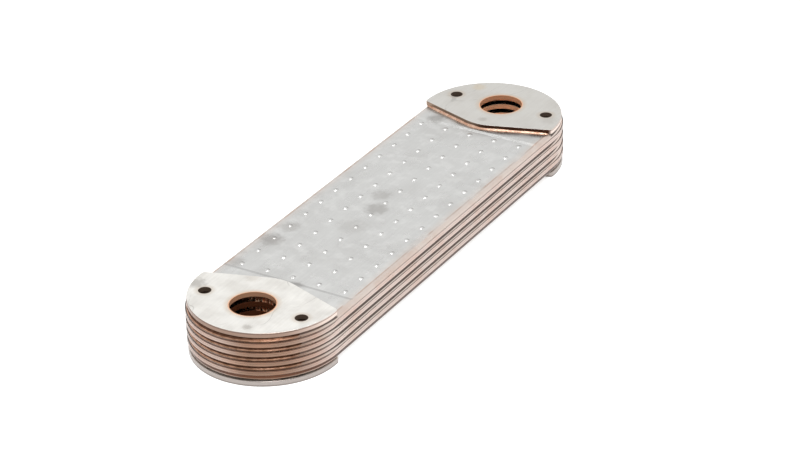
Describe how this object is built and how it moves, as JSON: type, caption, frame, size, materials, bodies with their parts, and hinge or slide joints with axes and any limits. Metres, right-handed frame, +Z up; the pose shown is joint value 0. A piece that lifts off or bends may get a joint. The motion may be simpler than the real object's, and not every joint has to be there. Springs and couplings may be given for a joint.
{
  "type": "brazed plate heat exchanger core",
  "caption": "Slim brazed plate heat exchanger core: stacked flat cells with dimpled faces, round ends, and a ported bolt-on flange at each end.",
  "frame": {"origin": "on the floor, under the middle of the core (centre of the bounding box's bottom)", "axes": "+X along the core towards the right port, +Y across it, +Z up out of the ports"},
  "size_m": [0.3088, 0.0812, 0.0296],
  "materials": {
    "flange_steel": "satin",
    "shell_steel": "satin",
    "copper_washed_steel": "satin",
    "braze_copper": "satin"
  },
  "bodies": {
    "root": {"top_flange_left": "flange_steel", "bottom_flange_left": "flange_steel", "top_braze_bead_left": "braze_copper", "bottom_braze_bead_left": "braze_copper", "top_flange_right": "flange_steel", "bottom_flange_right": "flange_steel", "top_braze_bead_right": "braze_copper", "bottom_braze_bead_right": "braze_copper", "upper_shell_1": "shell_steel", "lower_shell_1": "shell_steel", "turbulator_1": "copper_washed_steel", "bolt_bushes_1": "copper_washed_steel", "upper_shell_2": "shell_steel", "lower_shell_2": "shell_steel", "turbulator_2": "copper_washed_steel", "bolt_bushes_2": "copper_washed_steel", "upper_shell_3": "shell_steel", "lower_shell_3": "shell_steel", "turbulator_3": "copper_washed_steel", "bolt_bushes_3": "copper_washed_steel", "upper_shell_4": "shell_steel", "lower_shell_4": "shell_steel", "turbulator_4": "copper_washed_steel", "bolt_bushes_4": "copper_washed_steel", "base_plate": "shell_steel"}
  },
  "joints": []
}
